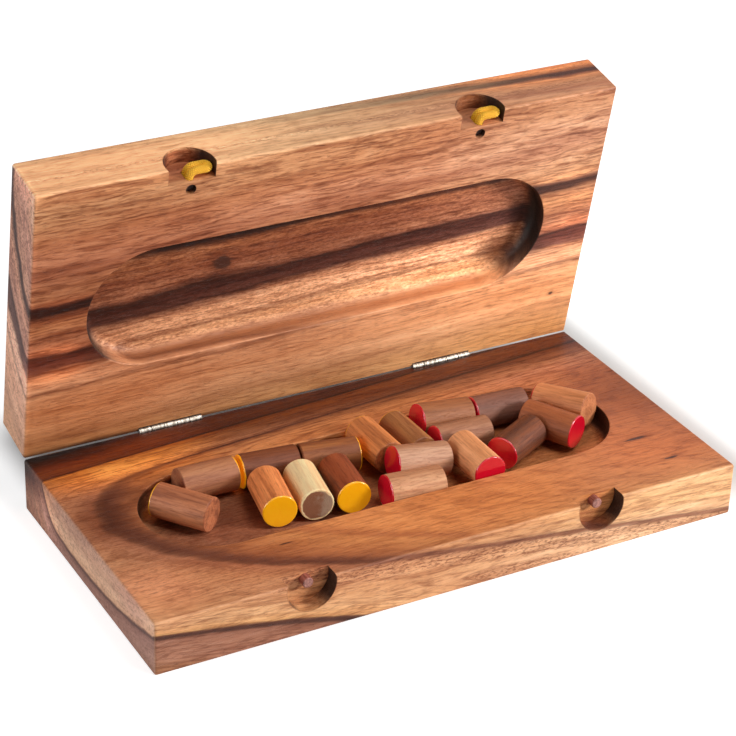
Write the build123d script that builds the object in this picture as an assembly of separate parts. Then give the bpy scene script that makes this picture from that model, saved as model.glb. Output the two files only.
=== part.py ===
from build123d import *
import math
import os

# Nine men's morris box. Two hollowed hardwood halves are hinged along one long edge.
# Shut, they are a flat case with the playing men in the tray between them. Opened flat
# and turned over, their outer faces make the square board: three nested squares whose
# 24 points are shallow sockets for the men.
#
# Millimetres, +Z up, X along the hinge, the user at -Y. The origin is the middle of the
# base's underside. The lid is modelled shut and then swung open by LID_OPENING.

# ---------------------------------------------------------------- the two wooden halves
BOX_LENGTH = 230.0
HALF_THICKNESS = 20.7
EDGE_ROUND = 1.0
HINGE_EDGE_ROUND = 0.2  # where the two inner faces meet at the hinges
FOLD_GAP = 0.15  # from the hinge line to each inner face and each back edge
LID_OPENING = 78.6  # degrees from shut, as the lid stands at rest

# ---------------------------------------------------------------- the playing men
MAN_DIAMETER = 12.7
MAN_LENGTH = 22.0
MAN_ROUND = 0.5
PILE_MAN_DIAMETER = 12.7  # size of man that the pile below was laid out with
PILE_MAN_LENGTH = 22.0

# Where each man lies in the tray: name, x and y of its middle from the tray's middle,
# height of its underside over the tray's floor, compass turn of its painted end from +X,
# and how far that end is tipped up, in degrees.
PILE = [
    ("yellow_man_1", -75.5, 5.5, 0.6, 127, 0.5),
    ("yellow_man_2", -61.0, 18.5, 1.0, 0, -0.5),
    ("yellow_man_3", -37.0, 17.5, 0.6, 174, 0.0),
    ("yellow_man_4", -14.5, 13.5, 0.8, -10, -0.5),
    ("yellow_man_5", -44.5, -1.0, 0.4, -101, 0.0),
    ("yellow_man_6", -31.0, -2.5, 0.4, 80, 0.0),
    ("yellow_man_7", -17.5, -4.5, 0.6, -98, 1.0),
    ("yellow_man_8", 4.5, 13.0, 1.6, 92, 0.5),
    ("yellow_man_9", 17.5, 12.5, 0.8, 92, 0.5),
    ("red_man_1", 36.0, 18.5, 2.4, 179, 5.5),
    ("red_man_2", 59.5, 18.0, 0.6, 177, 0.5),
    ("red_man_3", 36.5, 5.5, 0.6, 179, 1.0),
    ("red_man_4", 12.5, -5.5, 2.6, 177, 7.0),
    ("red_man_5", 3.0, -18.0, 0.8, 177, 2.0),
    ("red_man_6", 32.0, -12.5, 2.0, -90, 0.5),
    ("red_man_7", 53.5, -6.5, 0.6, -152, 0.5),
    ("red_man_8", 71.5, -1.5, 1.2, -62, 0.0),
    ("red_man_9", 82.0, 7.0, 2.6, 119, -6.5),
]

# ---------------------------------------------------------------- the tray in each half
TRAY_END_ROOM = 0.4  # past the pile, at each end
TRAY_SIDE_ROOM = 0.4
TRAY_COVE = 4.0
TRAY_RIM_ROUND = 0.4
STACK_ROOM = 4.3  # height between the two tray floors, over one man's diameter

# ---------------------------------------------------------------- finger notches and catch
NOTCH_DIAMETER = 18.6
NOTCH_DEPTH = 6.0
NOTCH_SINK = 2.6  # bore axis below the inner face
NOTCH_SPACING = 115.0
PEG_DIAMETER = 4.0
PEG_STANDOUT = 3.2
PEG_ROOT = 7.0
PEG_ROUND = 0.5
CORD_DIAMETER = 2.9
CORD_SINK = 3.7  # middle of the doubled cord, below the inner face
CORD_GAP = 0.3  # between its two strands
CORD_SETBACK = 3.4  # of the leaning strands, from the front edge
CORD_BEND = 2.5  # where the strands lean over, to their centre lines
CORD_REACH = 6.0  # from the hole to where the cord folds back
CORD_FIT = 0.1
ANCHOR_DIAMETER = 3.9
ANCHOR_LENGTH = 7.6
ANCHOR_SINK = 2.0
ANCHOR_SETBACK = 9.4  # from the front edge
DOWEL_FIT = 0.05  # radial, round pegs and anchors

# ---------------------------------------------------------------- the playing field
FIELD_MARGIN = 25.0
FIELD_PITCH = 30.0
FIELD_RINGS = 3
SOCKET_CLEARANCE = 0.35
SOCKET_DEPTH = 2.5
LINE_WIDTH = 1.6
LINE_DEPTH = 0.8

# ---------------------------------------------------------------- the butt hinges
HINGE_SPACING = 115.0
HINGE_LENGTH = 25.0
KNUCKLES = 5
KNUCKLE_GAP = 0.3
BARREL_DIAMETER = 2.6
BARREL_CLEARANCE = 0.4
HINGE_PIN_DIAMETER = 1.3
HINGE_PIN_FIT = 0.05
LEAF_THICKNESS = 0.8
LEAF_HEIGHT = 8.0
LEAF_SINK = 0.1  # leaf face below the hinge plane
LEAF_FIT = 0.1
SCREW_DIAMETER = 1.6
SCREW_HEAD_DIAMETER = 3.2
SCREW_LENGTH = 8.0
SCREW_SPACING = 15.0
SCREW_DROP = 5.0  # below the hinge line
SCREW_FIT = 0.05
SCREW_SLOT_WIDTH = 0.5
SCREW_SLOT_DEPTH = 0.35

# ---------------------------------------------------------------- worked-out places
half_depth = BOX_LENGTH / 2 - FOLD_GAP  # so that the open board is square
front = -half_depth / 2
back = half_depth / 2
hinge_y = back + FOLD_GAP
hinge_z = HALF_THICKNESS + FOLD_GAP
hinge_axis = Axis((0, hinge_y, hinge_z), (-1, 0, 0))
shut_plane = Plane((0, 0, hinge_z))
overshoot = 1.0  # how far a cutting solid runs past the face that it cuts
on_plane = 0.001  # how close to a plane an edge lies to count as in it
spread = max(MAN_LENGTH / PILE_MAN_LENGTH, MAN_DIAMETER / PILE_MAN_DIAMETER)
man_radius = MAN_DIAMETER / 2


def reach(place, across):
    """How far one man of the pile reaches from the tray's middle, along X or across it."""
    _, x, y, _, turn, _ = place
    middle = abs(y if across else x) * spread
    angle = math.radians(turn)
    along = abs(math.sin(angle) if across else math.cos(angle))
    aside = abs(math.cos(angle) if across else math.sin(angle))
    return middle + MAN_LENGTH / 2 * along + man_radius * aside


tray_length = 2 * (max(reach(place, False) for place in PILE) + TRAY_END_ROOM)
tray_width = 2 * (max(reach(place, True) for place in PILE) + TRAY_SIDE_ROOM)
tray_depth = (MAN_DIAMETER + STACK_ROOM * spread) / 2
tray_floor = HALF_THICKNESS - tray_depth
notch_z = HALF_THICKNESS - NOTCH_SINK
notch_floor = front + NOTCH_DEPTH
anchor_y = front + ANCHOR_SETBACK
cord_radius = CORD_DIAMETER / 2
cord_z = HALF_THICKNESS - CORD_SINK
cord_y = front + CORD_SETBACK
cord_root = anchor_y - ANCHOR_DIAMETER / 2 - DOWEL_FIT
strand_offset = (CORD_DIAMETER + CORD_GAP) / 2
leaf_face = hinge_y - LEAF_SINK
leaf_seat = leaf_face - LEAF_THICKNESS
barrel_radius = BARREL_DIAMETER / 2
barrel_room = barrel_radius + BARREL_CLEARANCE
hinge_pin_radius = HINGE_PIN_DIAMETER / 2
knuckle_length = (HINGE_LENGTH - (KNUCKLES - 1) * KNUCKLE_GAP) / KNUCKLES


# ---------------------------------------------------------------- small helpers
def both_ends(spacing):
    """The two x places of a pair that straddles the middle."""
    return (-spacing / 2, spacing / 2)


def span(x0, x1, y0, y1, z0, z1):
    """A box between two corners."""
    middle = Pos((x0 + x1) / 2, (y0 + y1) / 2, (z0 + z1) / 2)
    return middle * Box(x1 - x0, y1 - y0, z1 - z0)


def rod_x(radius, x0, x1, y, z):
    """A round bar along X."""
    return Pos((x0 + x1) / 2, y, z) * Rot(0, 90, 0) * Cylinder(radius, x1 - x0)


def rod_y(radius, y0, y1, x, z):
    """A round bar along Y."""
    return Pos(x, (y0 + y1) / 2, z) * Rot(90, 0, 0) * Cylinder(radius, y1 - y0)


def rod_z(radius, z0, z1, x, y):
    """A round bar along Z."""
    return Pos(x, y, (z0 + z1) / 2) * Cylinder(radius, z1 - z0)


def as_lid(shape):
    """Turn a piece modelled for the base into its twin on the opened lid."""
    return mirror(shape, about=shut_plane).rotate(hinge_axis, LID_OPENING)


# ---------------------------------------------------------------- cuts in the halves
def tray():
    """The long round-ended tray, with a coved floor edge."""
    plan = Pos(0, 0, tray_floor) * SlotOverall(tray_length, tray_width)
    hollow = extrude(plan, tray_depth + overshoot)
    return fillet(hollow.faces().sort_by(Axis.Z)[0].edges(), TRAY_COVE)


def notches():
    """The two bores in the front edge, which break out through the inner face."""
    bore_front = front - overshoot
    radius = NOTCH_DIAMETER / 2
    return [rod_y(radius, bore_front, notch_floor, x, notch_z) for x in both_ends(NOTCH_SPACING)]


def socket(x, from_fold):
    """One point of the playing field."""
    radius = man_radius + SOCKET_CLEARANCE
    return rod_z(radius, -overshoot, SOCKET_DEPTH, x, hinge_y - from_fold)


def line_cut(x0, x1, fold0, fold1):
    """One engraved line, as wide as LINE_WIDTH all round its centre line."""
    side = LINE_WIDTH / 2
    near, far = hinge_y - fold0 + side, hinge_y - fold1 - side
    return span(x0 - side, x1 + side, far, near, -overshoot, LINE_DEPTH)


def field():
    """This half of the playing field: the fold runs through the middle of the squares."""
    widest = BOX_LENGTH / 2 - FIELD_MARGIN
    rings = [widest - FIELD_PITCH * step for step in range(FIELD_RINGS)]
    cuts = [line_cut(0, 0, rings[-1], rings[0])]
    for ring in rings:
        cuts.append(line_cut(-ring, ring, ring, ring))
        cuts += [line_cut(x, x, 0, ring) for x in (-ring, ring)]
        cuts += [socket(x, ring) for x in (-ring, 0, ring)]
        cuts += [socket(x, 0) for x in (-ring, ring)]
    return cuts


def hinge_seats():
    """Mortises for the leaves in the back edge, and hollows round the barrels."""
    cuts = []
    for x in both_ends(HINGE_SPACING):
        x0 = x - HINGE_LENGTH / 2 - LEAF_FIT
        x1 = x + HINGE_LENGTH / 2 + LEAF_FIT
        low = hinge_z - LEAF_HEIGHT - LEAF_FIT
        cuts.append(span(x0, x1, leaf_seat, back + overshoot, low, HALF_THICKNESS + overshoot))
        cuts.append(rod_x(barrel_room, x0, x1, hinge_y, hinge_z))
        cuts += [screw_hole(x + offset) for offset in both_ends(SCREW_SPACING)]
    return cuts


def screw_hole(x):
    """The pilot hole behind the leaf for one screw."""
    deep = leaf_face - SCREW_LENGTH - SCREW_FIT
    radius = SCREW_DIAMETER / 2 + SCREW_FIT
    return rod_y(radius, deep, leaf_seat + overshoot, x, hinge_z - SCREW_DROP)


def rim_edges(half):
    """The tray's rim on the inner face."""
    rim = []
    for edge in half.edges():
        middle = edge.center()
        level = abs(middle.Z - HALF_THICKNESS) < on_plane
        if level and abs(middle.Y) < tray_width / 2 + on_plane and abs(middle.X) < tray_length / 2 + on_plane:
            rim.append(edge)
    return rim


def meets_twin(edge):
    """Whether this is the long edge at the hinges, between the inner face and the back."""
    middle = edge.center()
    return abs(middle.Y - back) < on_plane and abs(middle.Z - HALF_THICKNESS) < on_plane


def rounded_block():
    """The solid half before any cut, with its outer edges rounded."""
    block = span(-BOX_LENGTH / 2, BOX_LENGTH / 2, front, back, 0, HALF_THICKNESS)
    block = fillet([edge for edge in block.edges() if not meets_twin(edge)], EDGE_ROUND)
    return fillet([edge for edge in block.edges() if meets_twin(edge)], HINGE_EDGE_ROUND)


def hollowed_half(extra_cuts):
    """One half of the box, as the base lies: inner face up, hinge edge at +Y."""
    half = rounded_block() - tray()
    half = fillet(rim_edges(half), TRAY_RIM_ROUND)
    for cut in notches() + field() + hinge_seats() + extra_cuts:
        half = half - cut
    return half


# ---------------------------------------------------------------- catch pieces
def peg(x):
    """The stub in a base notch that the cord is hooked over."""
    rod = rod_y(PEG_DIAMETER / 2, notch_floor - PEG_STANDOUT, notch_floor + PEG_ROOT, x, notch_z)
    return fillet(rod.faces().sort_by(Axis.Y)[0].edges(), PEG_ROUND)


def peg_hole(x):
    """The hole in the notch floor that the peg is driven into."""
    radius = PEG_DIAMETER / 2 + DOWEL_FIT
    return rod_y(radius, notch_floor - overshoot, notch_floor + PEG_ROOT, x, notch_z)


def anchor(x):
    """The dowel that jams the cord's ends in their hole, sunk below the inner face."""
    top = HALF_THICKNESS - ANCHOR_SINK
    return rod_z(ANCHOR_DIAMETER / 2, top - ANCHOR_LENGTH, top, x, anchor_y)


def anchor_hole(x):
    """The hole in the inner face for the anchor."""
    low = HALF_THICKNESS - ANCHOR_SINK - ANCHOR_LENGTH
    return rod_z(ANCHOR_DIAMETER / 2 + DOWEL_FIT, low, HALF_THICKNESS + overshoot, x, anchor_y)


def cord_hole(x):
    """The upright oblong hole in the notch floor that both strands of the cord go into."""
    height = 2 * (strand_offset + cord_radius + CORD_FIT)
    width = CORD_DIAMETER + 2 * CORD_FIT
    start = notch_floor - overshoot
    mouth = Plane((x, start, cord_z), x_dir=(0, 0, 1), z_dir=(0, 1, 0)) * SlotOverall(height, width)
    return extrude(mouth, anchor_y - start)


def cord_loop(x):
    """Elastic cord, doubled in its hole and jammed by the anchor, that leans over to +X."""
    bend_y = cord_y + CORD_BEND
    short = CORD_BEND * (1 - math.sqrt(0.5))  # from the bend's middle to each of its runs
    lean = []
    for z in (cord_z + strand_offset, cord_z - strand_offset):
        root, bend_start = (x, cord_root, z), (x, bend_y, z)
        bend_middle, bend_end = (x + short, cord_y + short, z), (x + CORD_BEND, cord_y, z)
        fold_start = (x + CORD_REACH, cord_y, z)
        lean += [Line(root, bend_start), ThreePointArc(bend_start, bend_middle, bend_end)]
        lean.append(Line(bend_end, fold_start))
    fold_middle = (x + CORD_REACH + strand_offset, cord_y, cord_z)
    fold = ThreePointArc(lean[2] @ 1, fold_middle, lean[5] @ 1)
    section = Plane(lean[0] @ 0, z_dir=lean[0] % 0) * Circle(cord_radius)
    return sweep(section, Wire(lean + [fold]))


# ---------------------------------------------------------------- hinge pieces
def leaf(x, first_knuckle):
    """One leaf of a butt hinge, with every second knuckle of the barrel."""
    x0 = x - HINGE_LENGTH / 2
    plate = span(x0, x0 + HINGE_LENGTH, leaf_seat, leaf_face, hinge_z - LEAF_HEIGHT, hinge_z - barrel_room)
    for number in range(first_knuckle, KNUCKLES, 2):
        start = x0 + number * (knuckle_length + KNUCKLE_GAP)
        end = start + knuckle_length
        plate = plate + span(start, end, leaf_seat, leaf_face, hinge_z - barrel_room, hinge_z)
        plate = plate + rod_x(barrel_radius, start, end, hinge_y, hinge_z)
    plate = plate - rod_x(hinge_pin_radius + HINGE_PIN_FIT, x0 - overshoot, x0 + HINGE_LENGTH + overshoot,
                          hinge_y, hinge_z)
    for offset in both_ends(SCREW_SPACING):
        plate = plate - screw_body(x + offset, SCREW_FIT)
    return plate


def screw_body(x, extra):
    """A countersunk screw's plain shape, or its hole when extra is its clearance."""
    shank = SCREW_DIAMETER / 2 + extra
    head = SCREW_HEAD_DIAMETER / 2 + extra
    z = hinge_z - SCREW_DROP
    cone = Pos(x, leaf_face - LEAF_THICKNESS / 2, z) * Rot(-90, 0, 0) * Cone(shank, head, LEAF_THICKNESS)
    return cone + rod_y(shank, leaf_face - SCREW_LENGTH, leaf_seat, x, z)


def screw(x):
    """A slotted countersunk wood screw, flush with the leaf."""
    half_slot = SCREW_SLOT_WIDTH / 2
    z = hinge_z - SCREW_DROP
    slot = span(x - SCREW_HEAD_DIAMETER, x + SCREW_HEAD_DIAMETER,
                leaf_face - SCREW_SLOT_DEPTH, leaf_face + overshoot, z - half_slot, z + half_slot)
    return screw_body(x, 0) - slot


def screws():
    """The four screws that hold one half's two leaves."""
    places = [x + offset for x in both_ends(HINGE_SPACING) for offset in both_ends(SCREW_SPACING)]
    return Compound([screw(x).solid() for x in places])


def hinge_pin(x):
    """The pin through all the knuckles of one hinge."""
    return rod_x(hinge_pin_radius, x - HINGE_LENGTH / 2, x + HINGE_LENGTH / 2, hinge_y, hinge_z)


# ---------------------------------------------------------------- the men
def man(place):
    """One playing man, lying in the pile."""
    _, x, y, lift, turn, rise = place
    rod = Cylinder(man_radius, MAN_LENGTH)
    rod = fillet(rod.edges().filter_by(GeomType.CIRCLE), MAN_ROUND)
    middle = Pos(x * spread, y * spread, tray_floor + man_radius + lift * spread)
    return middle * Rot(0, 0, turn) * Rot(0, 90 - rise, 0) * rod


# ---------------------------------------------------------------- the whole box
pieces = {}
sides = dict(zip(("left", "right"), both_ends(NOTCH_SPACING)))
base_cuts = [peg_hole(x) for x in sides.values()]
lid_cuts = [cord_hole(x) for x in sides.values()] + [anchor_hole(x) for x in sides.values()]
pieces["base_half"] = hollowed_half(base_cuts)
pieces["lid_half"] = as_lid(hollowed_half(lid_cuts))
for side, x in sides.items():
    pieces[f"catch_peg_{side}"] = peg(x)
    pieces[f"cord_loop_{side}"] = as_lid(cord_loop(x))
    pieces[f"cord_anchor_{side}"] = as_lid(anchor(x))
for side, x in zip(("left", "right"), both_ends(HINGE_SPACING)):
    pieces[f"hinge_base_leaf_{side}"] = leaf(x, 0)
    pieces[f"hinge_lid_leaf_{side}"] = as_lid(leaf(x, 1))
    pieces[f"hinge_pin_{side}"] = hinge_pin(x)
pieces["hinge_base_screws"] = screws()
pieces["hinge_lid_screws"] = as_lid(screws())
for place in PILE:
    pieces[place[0]] = man(place)

os.makedirs("parts", exist_ok=True)
for node, shape in pieces.items():
    export_step(shape, f"parts/{node}.step")
print(len(pieces), "nodes; tray", round(tray_length, 2), "x", round(tray_width, 2), "x", round(tray_depth, 2))
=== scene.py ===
# %% [markdown]
# # A folding nine men's morris box in figured hardwood
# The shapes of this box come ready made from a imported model: two hinged halves, eighteen men, hinges, screws,
# catch pegs and catch cords. This lesson gives them their looks. Wood is the subject, so most steps build
# wood from its causes: growth rings, fibres, pores and end grain.

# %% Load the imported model
import math

import bpy
from mathutils import Matrix, Vector


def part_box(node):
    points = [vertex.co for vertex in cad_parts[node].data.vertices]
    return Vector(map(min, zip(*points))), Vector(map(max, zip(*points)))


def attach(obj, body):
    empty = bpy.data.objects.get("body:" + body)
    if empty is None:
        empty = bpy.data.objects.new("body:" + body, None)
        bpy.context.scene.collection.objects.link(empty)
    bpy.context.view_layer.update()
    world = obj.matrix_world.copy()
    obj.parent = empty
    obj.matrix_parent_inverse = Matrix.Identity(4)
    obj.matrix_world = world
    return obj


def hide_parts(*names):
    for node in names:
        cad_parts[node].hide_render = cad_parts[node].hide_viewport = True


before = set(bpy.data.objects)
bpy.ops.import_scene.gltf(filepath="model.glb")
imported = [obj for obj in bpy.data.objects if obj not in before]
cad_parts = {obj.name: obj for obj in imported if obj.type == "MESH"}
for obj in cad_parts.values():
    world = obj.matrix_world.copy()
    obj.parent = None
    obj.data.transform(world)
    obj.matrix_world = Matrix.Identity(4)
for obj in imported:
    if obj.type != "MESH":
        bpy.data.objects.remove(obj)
bpy.context.scene.view_settings.view_transform = "Standard"
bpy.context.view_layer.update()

# %% [markdown]
# ## The camera
# A long lens from a good distance keeps the sides of a small box nearly parallel, as in shop pictures.
# The camera looks along `LOOK` from `EYE`, with a slight roll. A camera's own axes are right, up and backwards,
# so those three directions are the columns of its matrix.

# %% Camera
EYE = Vector((-0.372356, -0.654040, 0.470715))
LOOK = Vector((0.42817, 0.76586, -0.47972)).normalized()
ROLL = math.radians(1.758)
LENS = 118.74  # millimetres, on a 36 mm sensor

level_right = LOOK.cross(Vector((0, 0, 1))).normalized()
level_up = level_right.cross(LOOK)
right = level_right * math.cos(ROLL) + level_up * math.sin(ROLL)
up = level_up * math.cos(ROLL) - level_right * math.sin(ROLL)

camera_data = bpy.data.cameras.new("camera")
camera_data.lens = LENS
camera_data.clip_start = 0.01
camera = bpy.data.objects.new("camera", camera_data)
turn = Matrix((right, up, -LOOK)).transposed().to_4x4()
camera.matrix_world = Matrix.Translation(EYE) @ turn
bpy.context.scene.collection.objects.link(camera)
bpy.context.scene.camera = camera
print("camera", round(EYE.length, 3), "m from the origin")

# %% [markdown]
# ## Writing a node tree as sums
# A node tree is easier to read when it is written as sums and mixes. `Steps` holds one tree, and each of its
# methods adds a node or two and hands back an output, so the trees further down read like recipes. A value can be
# a plain number or the output of an earlier step. The room, the wood and the braid are all built with it.

# %% One node at a time
class Steps:
    """A node tree, built one step at a time."""

    def __init__(self, tree):
        self.tree = tree
        tree.nodes.clear()

    def step(self, kind, values, output=0, **settings):
        """One node: its settings, then its inputs by number or name."""
        node = self.tree.nodes.new(kind)
        for name, value in settings.items():
            setattr(node, name, value)
        for key, value in values.items():
            if isinstance(value, bpy.types.NodeSocket):
                self.tree.links.new(value, node.inputs[key])
            else:
                node.inputs[key].default_value = value
        return node.outputs[output]

    def end(self, kind, result):
        """The node that the tree ends in."""
        self.tree.links.new(result, self.tree.nodes.new(kind).inputs[0])

    def sum(self, operation, a, b=0.0, c=0.0):
        return self.step("ShaderNodeMath", {0: a, 1: b, 2: c}, operation=operation)

    def product(self, first, *others):
        for other in others:
            first = self.sum("MULTIPLY", first, other)
        return first

    def vector(self, operation, a, b=(0, 0, 0), output=0):
        return self.step("ShaderNodeVectorMath", {0: a, 1: b}, output, operation=operation)

    def between(self, value, low, high, start=0.0, end=1.0):
        """0 below `low` and 1 above `high`, smooth between, or `start` to `end`."""
        inputs = {"Value": value, "From Min": low, "From Max": high, "To Min": start, "To Max": end}
        return self.step("ShaderNodeMapRange", inputs, interpolation_type="SMOOTHSTEP")


print("Steps helper ready")

# %% Colours are written as they look
def shade(code):
    """A colour written as RRGGBB, as a shader wants it: linear."""
    parts = [int(code[i : i + 2], 16) / 255 for i in (0, 2, 4)]
    return tuple(p / 12.92 if p <= 0.04045 else ((p + 0.055) / 1.055) ** 2.4 for p in parts) + (1.0,)


print("mid grey 808080 is", round(shade("808080")[0], 3), "in linear light")

# %% [markdown]
# ## Finishes
# A `Finish` is a material's tree with the words that a finish needs: noise drawn out along the grain, mixes, tints,
# and a ladder of colours. A tint multiplies, so a dark ring under it stays dark and keeps its hue, which a mix
# with a pale colour would turn milky. A tint above 1 makes paler.

# %% The Finish helper
class Finish(Steps):
    """A material, built one step at a time."""

    def __init__(self, name):
        self.material = bpy.data.materials.new(name)
        self.material.use_nodes = True
        super().__init__(self.material.node_tree)
        self.where = self.tree.nodes.new("ShaderNodeTexCoord").outputs

    def millimetres(self):
        """The place on the piece in millimetres, where Blender gives metres."""
        return self.vector("MULTIPLY", self.where["Object"], (1000, 1000, 1000))

    def part(self, vector, axis):
        return self.step("ShaderNodeSeparateXYZ", {0: vector}, "XYZ".index(axis))

    def place(self, x, y, z):
        return self.step("ShaderNodeCombineXYZ", {0: x, 1: y, 2: z})

    def cloud(self, vector, detail, roughness, distortion=0.0):
        """Soft noise between 0 and 1, about 0.5 on average."""
        inputs = {"Vector": vector, "Scale": 1.0, "Detail": detail, "Roughness": roughness, "Distortion": distortion}
        return self.step("ShaderNodeTexNoise", inputs)

    def grainy(self, vector, along, across, *settings):
        """Noise whose spots are `along` mm long in the grain and `across` mm wide."""
        return self.cloud(self.vector("MULTIPLY", vector, (1 / along, 1 / across, 1 / across)), *settings)

    def strayed(self, value, noise, amount):
        """A value that a noise moves up and down."""
        return self.sum("MULTIPLY_ADD", self.sum("SUBTRACT", noise, 0.5), amount, value)

    def off(self, value, middle):
        """How far a value is from a middle, either way."""
        return self.sum("ABSOLUTE", self.sum("SUBTRACT", value, middle))

    def radius(self, a, b):
        return self.sum("SQRT", self.sum("ADD", self.product(a, a), self.product(b, b)))

    def mix(self, amount, a, b, blend="MIX"):
        return self.step("ShaderNodeMix", {0: amount, 6: a, 7: b}, 2, data_type="RGBA", blend_type=blend)

    def tinted(self, amount, colour, tint):
        """The colour multiplied by a tint, by this amount."""
        return self.mix(amount, colour, (*tint, 1), "MULTIPLY")

    def bumps(self, height, depth, strength):
        """A relief of this depth in metres."""
        return self.step("ShaderNodeBump", {"Height": height, "Distance": depth, "Strength": strength})

    def surface(self, colour, roughness, normal, glow=None, coat=None, **fixed):
        """Ends the material. Values in `fixed` are the same all over."""
        values = {"Base Color": colour, "Roughness": roughness, "Normal": normal}
        values.update({"Emission Color": glow, "Coat Weight": coat})
        values.update({name.replace("_", " "): value for name, value in fixed.items()})
        values = {name: value for name, value in values.items() if value is not None}
        self.end("ShaderNodeOutputMaterial", self.step("ShaderNodeBsdfPrincipled", values))
        return self.material


print("Finish helper ready")

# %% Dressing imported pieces
def dress(node_names, material):
    """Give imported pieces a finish."""
    for name in node_names:
        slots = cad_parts[name].data.materials
        slots.clear()
        slots.append(material)


print("dress() gives a finish to any of", len(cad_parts), "nodes")

# %% [markdown]
# ## The studio
# The key lamp stands low at the front right, so that it rakes over the wood and blackens the walls of trays and
# bores that face left. A weaker lamp overhead and a broad one at the left fill in. Together they come to a plain
# level, at which a colour renders about as it is written. Only camera, glossy and transmission rays see the room
# as white: the room itself lights very little, which keeps the shadows among the men deep.

# %% Lamps
AIM = Vector((0, 0, 0.03))


def softbox(name, place, size, power, tint):
    """A square lamp that faces the box."""
    lamp = bpy.data.lights.new(name, "AREA")
    lamp.size = size
    lamp.energy = power
    lamp.color = tint
    lamp_object = bpy.data.objects.new(name, lamp)
    lamp_object.location = place
    lamp_object.rotation_euler = (AIM - Vector(place)).to_track_quat("-Z", "Y").to_euler()
    bpy.context.scene.collection.objects.link(lamp_object)


softbox("overhead_lamp", (0.30, -0.45, 1.1), 0.5, 5.5, (1.0, 0.99, 0.97))
softbox("key_lamp", (0.72, -0.58, 0.36), 0.22, 8.6, (1.0, 0.985, 0.96))
softbox("left_lamp", (-1.3, -0.15, 0.3), 0.9, 10.5, (0.97, 0.98, 1.0))

# %% The room
ROOM_LIGHT = 0.05

world = bpy.data.worlds.new("room")
bpy.context.scene.world = world
world.use_nodes = True
room = Steps(world.node_tree)
rays = room.tree.nodes.new("ShaderNodeLightPath").outputs
seen = room.sum("MAXIMUM", rays["Is Camera Ray"], rays["Is Glossy Ray"])
seen = room.sum("MAXIMUM", seen, rays["Is Transmission Ray"])
soft_room = room.step("ShaderNodeBackground", {"Strength": ROOM_LIGHT})
white_room = room.step("ShaderNodeBackground", {"Strength": 1.0})
room.end("ShaderNodeOutputWorld", room.step("ShaderNodeMixShader", {0: seen, 1: soft_room, 2: white_room}))
print("room light", ROOM_LIGHT)

# %% [markdown]
# ## The floor
# A matt white table top. A glow that only the camera sees lifts it to white. The glow fades out towards the box,
# so that the contact shadow, and the floor that shows through the seam of the hinge, stay dark. Far away, where
# the lamps hardly reach, the glow is a little stronger, so that the floor's end melts into the white room.

# %% Floor
FLOOR_SIZE = 6.0
FOOTPRINT = (0.116, 0.068)  # half length and half depth of the patch without glow
FOOTPRINT_MIDDLE = (0.020, 0.032)  # the patch lies to the right and behind, where the seam shows the floor
FADE = (0.018, 0.032)  # how far the glow takes to come in, along X and Y

half = FLOOR_SIZE / 2
corners = [(-half, -half, 0), (half, -half, 0), (half, half, 0), (-half, half, 0)]
floor_mesh = bpy.data.meshes.new("floor")
floor_mesh.from_pydata(corners, [], [(0, 1, 2, 3)])
floor = bpy.data.objects.new("floor", floor_mesh)
bpy.context.scene.collection.objects.link(floor)
paper = Finish("floor_white")
centred = paper.vector("SUBTRACT", paper.where["Object"], (*FOOTPRINT_MIDDLE, 0))
beyond = paper.vector("SUBTRACT", paper.vector("ABSOLUTE", centred), (*FOOTPRINT, 0))
scaled = paper.vector("MULTIPLY", paper.vector("MAXIMUM", beyond), (1 / FADE[0], 1 / FADE[1], 0))
distance = paper.vector("LENGTH", scaled, output="Value")
print("floor", FLOOR_SIZE, "m square")

# %% The floor's glow
NEAR_GLOW = 0.75
FAR_GLOW = 0.3  # what is added from the first to the second of the distances below
FAR = (8.0, 30.0)  # in lengths of the fade
TABLE_GREY = 0.80

near_glow = paper.between(distance, 0, 1, 0, NEAR_GLOW)
far_span = {"Value": distance, "From Min": FAR[0], "From Max": FAR[1], "To Min": 0.0, "To Max": FAR_GLOW}
total_glow = paper.sum("ADD", near_glow, paper.step("ShaderNodeMapRange", far_span))
seen_directly = paper.step("ShaderNodeLightPath", {}, "Is Camera Ray")
glow = paper.step("ShaderNodeEmission", {"Strength": paper.product(seen_directly, total_glow)})
matt = paper.step("ShaderNodeBsdfDiffuse", {"Color": (TABLE_GREY, TABLE_GREY, TABLE_GREY, 1)})
paper.end("ShaderNodeOutputMaterial", paper.step("ShaderNodeAddShader", {0: matt, 1: glow}))
floor_mesh.materials.append(paper.material)
print("the floor glows by", NEAR_GLOW, "near by and", NEAR_GLOW + FAR_GLOW, "far off")

# %% [markdown]
# ## One set of coordinates for both halves
# Each half was sawn from one thick board, with the grain along X. Both patterns are worked out in the board's own
# millimetres: x along the hinge, y from the board's middle line towards the hinge, and depth below the inner
# face. The opened lid has turned about the hinge line, so a Mapping node turns its coordinates back. This
# keeps rings running on through edges, trays and notches, as they do in solid wood.

# %% Board coordinates
MM = 0.001
LID_OPENING = math.radians(78.6)
HALF_THICKNESS = 20.7
HALF_END = 115.0  # x of the right end
FRONT = -57.425  # y of the front edge
HINGE_TO_MIDDLE = 57.575
HINGE_GAP = 0.15  # from the hinge line to each inner face
HINGE_HEIGHT = HALF_THICKNESS + HINGE_GAP


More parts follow.
